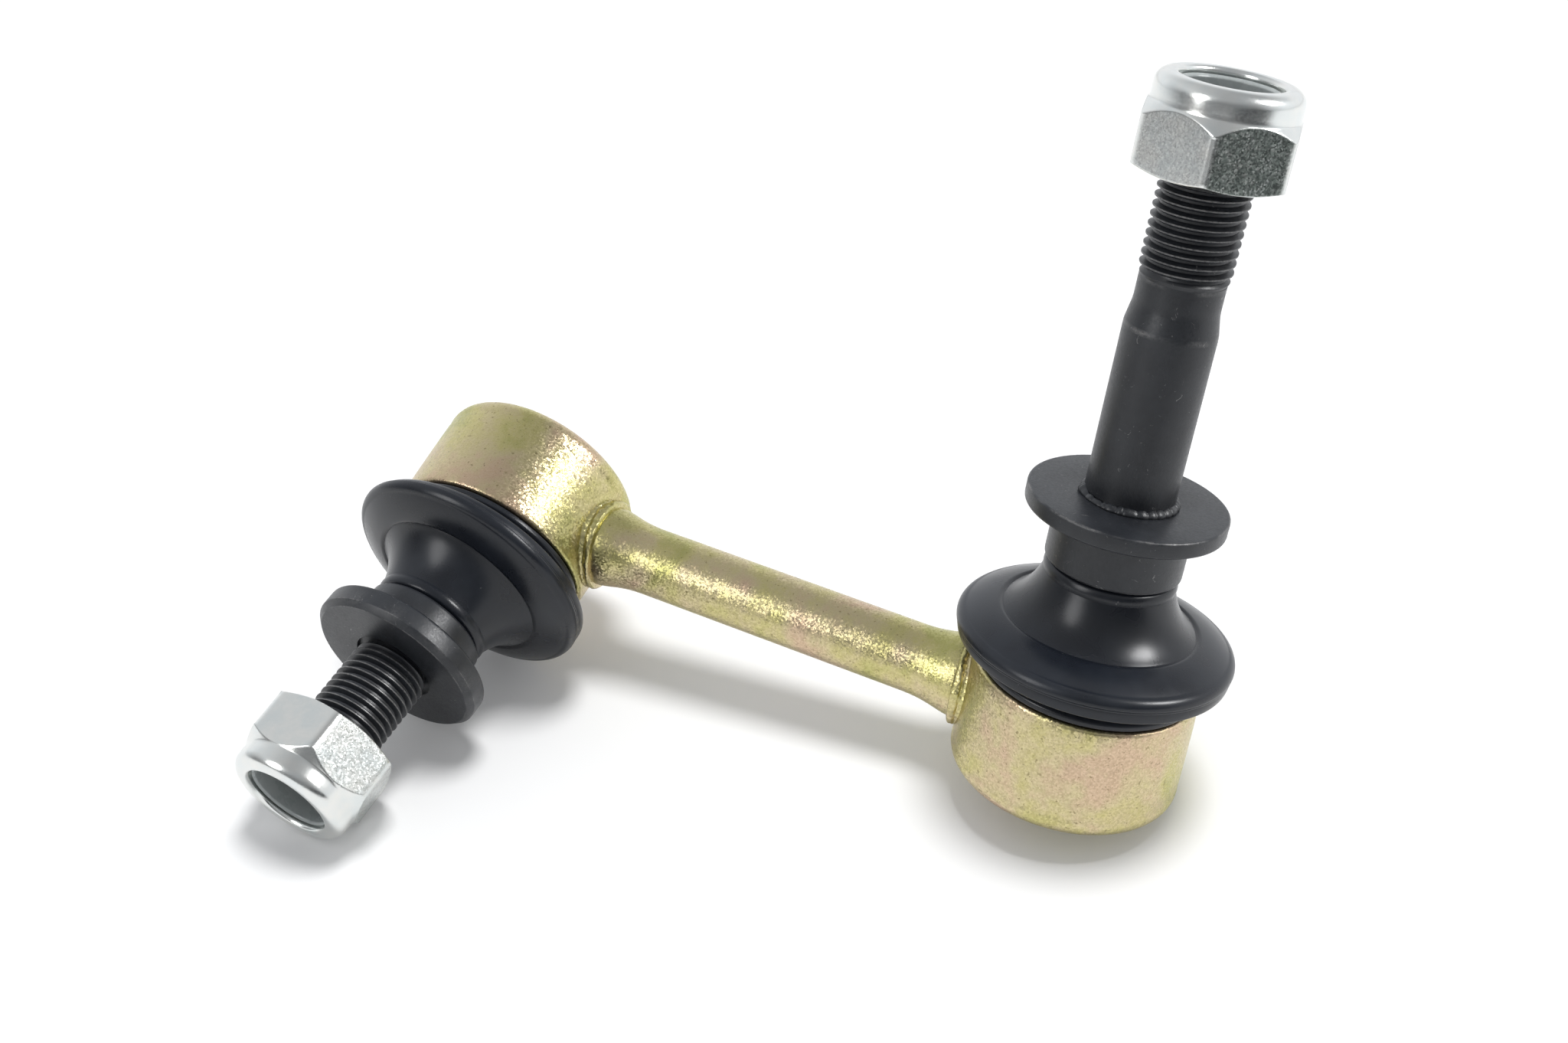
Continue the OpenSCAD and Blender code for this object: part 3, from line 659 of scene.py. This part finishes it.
rim_r, rim_z, bulge_r = 18.2, 13.5, 1.4
line_r, neck_r, neck_top = 13.7, 9.2, 24.8
bulge = []
for k in range(25):
    a = -24 + 4.2 * k
    dent = 0.10 * math.exp(-((a + 24) / 3) ** 2) + 0.07 * math.exp(-((a + 12) / 3) ** 2)
    bulge += arc(rim_r, rim_z, bulge_r - dent, [a])
dome = swept(bulge[-1], (17.6, 15.45), (15.9, 16.35), (line_r + 0.2, 16.66), 14)[1:]
throat = swept((line_r - 0.35, 16.70), (12.0, 17.6), (10.2, 19.4), (neck_r, 23.0), 18)
foot = eased([
    (13.2, 8.6), (15.8, 8.6, 0.25), (15.8, 9.4, 0.2), (15.1, 10.1, 0.1), (14.7, 10.1, 0.1),
    (14.7, 11.55, 0.1), (17.4, 11.6, 0.12), (19.2, 11.8, 0.18), (19.4, 12.6),
])
mould_line = [(line_r + 0.02, 16.52), (line_r - 0.1, 16.5), (line_r - 0.22, 16.6)]
neck = eased([
    (9.25, 23.0), (9.36, 23.7, 0.4), (9.1, 24.5, 0.3), (8.6, neck_top, 0.2), (6.2, neck_top, 0.2),
    (6.2, 22.3, 0.4), (6.9, 21.4),
])
inside = swept((7.7, 20.8), (9.0, 19.0), (11.1, 16.9), (13.5, 16.0), 8) + eased([
    (15.7, 15.5), (17.9, 14.4, 0.6), (18.3, 13.2, 0.5), (17.2, 12.5, 0.5), (14.6, 12.3, 0.3),
    (13.5, 11.9, 0.2), (13.2, 11.1),
])
boot_outline = foot + bulge + dome + mould_line + throat + neck + inside


def between_rings(count, around, loop=False):
    """The faces between rings of points that follow each other, and from the last to the first in a loop."""
    faces = []
    for i in range(count if loop else count - 1):
        low, high = i * around, (i + 1) % count * around
        for k in range(around):
            n = (k + 1) % around
            faces.append((low + k, low + n, high + n, high + k))
    return faces


def boot(side, joint, stud):
    """One skin whose foot stands on the housing and whose neck follows the leaning stud."""
    points = []
    around = 192
    for r, z in boot_outline:
        rim_share = 0.85 * clamp((z - 10.6) / 2.6)
        neck_share = clamp((16 - r) / 5) if z > 13 else 0.0
        follow = rim_share + (1 - rim_share) * neck_share
        for k in range(around):
            a = 2 * math.pi * k / around
            at = Vector((r * math.cos(a), r * math.sin(a), z))
            points.append((joint @ at).lerp(stud @ at, follow))
    faces = between_rings(len(boot_outline), around, loop=True)
    piece = piece_of(side + "_bellows", points, faces, rubber, sharp=50)
    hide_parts(side + "_boot")
    bend_start, bend_end = joint @ Vector((0, 0, 13)), joint @ Vector((0, 0, 22.5))
    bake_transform(piece)
    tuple(bend_start)
    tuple(bend_end)


boot("left", left_joint, left_stud)
boot("right", right_joint, right_stud)


# Boot clips: open rings of black spring wire snapped into the groove above the boot's foot. One end shows
# the bright metal where it was cut off, and is bound with a dozen turns of finer wire.

clip_r, clip_z, wire_r = 15.45, 10.65, 0.55


def wire_along(path, thickness, place, round_steps=12):
    """A wire of round section along a path of points in millimetres, with both ends closed."""
    points = []
    for i, at in enumerate(path):
        ahead = (path[min(i + 1, len(path) - 1)] - path[max(i - 1, 0)]).normalized()
        side = ahead.cross(Vector((0, 0, 1)))
        side = side.normalized() if side.length > 1e-4 else Vector((1, 0, 0))
        up = side.cross(ahead)
        for k in range(round_steps):
            a = 2 * math.pi * k / round_steps
            points.append(place @ (at + thickness * (side * math.cos(a) + up * math.sin(a))))
    faces = between_rings(len(path), round_steps)
    last = len(points) - round_steps
    faces.append(list(range(round_steps)))
    faces.append(list(range(last, last + round_steps)))
    return points, faces


def clip(side, place, start, sweep):
    """The ring from its cut end, and the finer wire that binds that end."""
    path = []
    for k in range(161):
        a = math.radians(start + sweep * k / 160)
        path.append(Vector((clip_r * math.cos(a), clip_r * math.sin(a), clip_z)))
    points, faces = wire_along(path, wire_r, place)
    wound_r, binding_r, steps_per_turn, turns = wire_r - 0.12, 0.14, 15, 12
    binding = []
    for k in range(steps_per_turn * turns):
        a = math.radians(start + sweep * (0.004 + 0.06 * k / (steps_per_turn * turns)))
        b = 2 * math.pi * k / steps_per_turn
        r = clip_r + wound_r * math.cos(b)
        binding.append(Vector((r * math.cos(a), r * math.sin(a), clip_z + wound_r * math.sin(b))))
    more, wraps = wire_along(binding, binding_r, place, 8)
    faces += [[n + len(points) for n in face] for face in wraps]
    piece = piece_of(side + "_wire_clip", points + more, faces, black_steel)
    cut = place @ path[0]
    mark_wear(piece, "rubbed", lambda at: 1.0 if (at - cut).length < (wire_r + 0.05) * MM else 0.0)
    fit(piece, "link", "black_steel", side + "_boot_clip")


clip("left", left_joint, -7, -346)
clip("right", right_joint, 252.5, 346)


# Neck rings: closed rings of black steel wire. Each lies in the groove round its boot's neck, tucked in under
# the collar, and holds the neck on the stem.

ring_section = arc(8.8, 23.8, 0.45, range(0, 360, 24))
for side, stud in (("left", left_stud), ("right", right_stud)):
    ring = turned(side + "_wire_ring", ring_section, stud, black_steel, loop=True, around=128)
    fit(ring, side + "_tilt", "black_steel", side + "_neck_ring")


# Lock nuts: cold-forged hexagons, bright zinc plated. The flats keep the grain of the forging; the collar
# above them is spun in over a nylon ring and polished by the tool.

# One flat of each nut is painted a blotchy dark grey-green: painted shade, standing in for the dark
# reflection that face shows.
bright_zinc, wire = start_finish("bright_zinc")
spot = wire.add("TexCoord", output="Object")
forged = wire.add("Attribute", attribute_name="forged", output="Fac")
crystal = wire.add("TexVoronoi", {"Vector": spot, "Scale": 4600, "Randomness": 1}, output="Color")
grain = wire.add("TexNoise", {"Vector": spot, "Scale": 3400, "Detail": 3, "Roughness": 0.7})
film = wire.add("TexNoise", {"Vector": spot, "Scale": 300, "Detail": 3, "Roughness": 0.6})
bloom = wire.add("TexNoise", {"Vector": spot, "Scale": 1100, "Detail": 3, "Roughness": 0.7})
shaded_flat = wire.add("Attribute", attribute_name="shaded_flat", output="Fac")
glint = wire.add("SeparateColor", {0: crystal}, output="Green")
shadow = wire.add("SeparateColor", {0: crystal}, output="Blue")
plate = film.between(0.35, 0.65).tint((0.73, 0.76, 0.75, 1), (0.80, 0.80, 0.77, 1))
# Painted shade: one chosen flat per nut is darkened in blotches towards dark grey-green, on top of the forged
# flats' grain.
grain_and_shade = (glint.between(0.2, 0.9) * 0.42 + 0.06) * forged + bloom.between(0.38, 0.64, 0.55, 0.88) * shaded_flat
stain_and_shade = grain_and_shade.between(0, 1).tint(plate, (0.17, 0.195, 0.18, 1))
lustre = stain_and_shade.tinged("MULTIPLY", (forged * shadow * 0.34).tint((1, 1, 1, 1), (0.06, 0.07, 0.07, 1)))
relief = wire.add("Bump", {
    "Strength": 0.28, "Distance": 0.00005, "Height": grain * (forged * 0.9 + 0.1),
    "Normal": faceted(wire, crystal, forged * 0.17),
})
skin = wire.add("BsdfPrincipled", {
    "Base Color": lustre,
    "Metallic": 1.0,
    "Roughness": forged.between(0, 1, 0.20, 0.33) + grain.between(0.3, 0.7, -0.03, 0.05),
    "Normal": relief,
})
wire.add("OutputMaterial", {"Surface": skin})

flat_r = 9.5
corner_r = flat_r / math.cos(math.radians(30))
crimp = arc(7.55, 10.45, 1.75, range(0, 91, 6))
nut_outline = [(6.75, 0.0), (7.4, 0.0), (8.2, 0.0), (8.9, 0.03), (9.1, 0.08)]
nut_outline += [(9.1 + 1.87 * k / 8, 0.08 + 0.82 * k / 8) for k in range(1, 9)]
nut_outline += [(corner_r + 0.4, 0.9 + 5.7 * k / 14) for k in range(1, 15)]
nut_outline += [(corner_r + 0.25 - 1.78 * k / 28, 6.62 + 1.92 * k / 28) for k in range(29)]
nut_outline += [(9.38, 8.64), (9.34, 8.78), (9.32, 9.0), (9.32, 9.4), (9.32, 9.9)] + crimp
nut_outline += swept((7.2, 12.2), (6.75, 12.2), (6.45, 11.95), (6.45, 11.5), 8)
nut_outline += [(6.45, 11.2), (6.5, 10.9), (8.0, 10.9), (8.0, 7.95), (6.05, 7.95), (6.05, 4), (6.05, 0.7)]


def nut(side, stud, height, turn, smooth_flat, smooth_grain, shaded_flat_index):
    """The turned outline cut by six flats, with every edge slightly rounded as the barrel leaves it, and one
    flat painted darker as shade.
    """
    place = stud @ Matrix.Translation((0, 0, height)) @ Matrix.Rotation(math.radians(turn), 4, "Z")
    soft = 0.14
    round_start, round_span, round_depth = math.radians(26.0), math.radians(4.0), 0.21
    angles = [1.5 * k for k in range(240)]
    points, cast, flat_shade = [], [], []
    for r, z in nut_outline:
        for degrees in angles:
            a = math.radians(degrees)
            inside = math.radians((degrees % 60) - 30)
            hexagon = flat_r / math.cos(inside)
            mix = clamp(0.5 + 0.5 * (hexagon - r) / soft)
            ring_r = hexagon * (1 - mix) + r * mix - soft * mix * (1 - mix)
            corner = max(0, abs(inside) - round_start) / round_span
            ring_r -= round_depth * corner * corner * (1 - mix)
            points.append(place @ Vector((ring_r * math.cos(a), ring_r * math.sin(a), z)))
            flat_here = int(degrees // 60)
            bare = (1 - mix) * (1 - min(1, corner))
            cast.append(bare * (smooth_grain if flat_here == smooth_flat else 1.0))
            # Painted shade: marks the one flat that is painted darker.
            flat_shade.append(bare if flat_here == shaded_flat_index else 0.0)
    faces = between_rings(len(nut_outline), len(angles), loop=True)
    mesh_points = [tuple(p) for p in points]
    piece = piece_of(side + "_lock_nut", mesh_points, faces, bright_zinc, sharp=60)
    for name, values in (("forged", cast), ("shaded_flat", flat_shade)):
        where = {tuple(round(c * 1e7) for c in p): value for p, value in zip(mesh_points, values)}
        mark_wear(piece, name, lambda at: where.get(tuple(round(c * 1e7) for c in at), 0.0))
    fit(piece, side + "_nut_turn", "bright_zinc", side + "_nut")


left_nut_z, right_nut_z = 47.2, 79.4
nut("left", left_stud, left_nut_z, turn=9, smooth_flat=1, smooth_grain=0.04, shaded_flat_index=3)
nut("right", right_stud, right_nut_z, turn=37, smooth_flat=3, smooth_grain=0.2, shaded_flat_index=4)


# Nylon rings: the locking rings caught under the nuts' spun collars. The stud's thread has to cut its own way
# through them, which gives the nut its drag.

nylon, wire = start_finish("nylon")
spot = wire.add("TexCoord", output="Object")
haze = wire.add("TexNoise", {"Vector": spot, "Scale": 500, "Detail": 3})
plastic = wire.add("BsdfPrincipled", {
    "Base Color": haze.tint((0.34, 0.37, 0.37, 1), (0.46, 0.49, 0.48, 1)),
    "Roughness": haze.between(0.3, 0.7, 0.22, 0.36),
})
wire.add("OutputMaterial", {"Surface": plastic})
ring_outline = eased([
    (6.05, 8.0, 0.1), (7.95, 8.0, 0.1), (7.95, 10.88, 0.1), (6.42, 10.88, 0.02), (6.42, 11.25, 0.1),
    (6.06, 10.9, 0.15),
], loop=True)
for side, stud, height in (("left", left_stud, left_nut_z), ("right", right_stud, right_nut_z)):
    place = stud @ Matrix.Translation((0, 0, height))
    insert = turned(side + "_nylon_ring", ring_outline, place, nylon, loop=True, around=96)
    fit(insert, side + "_nut_travel", "nylon", side + "_nut_insert")
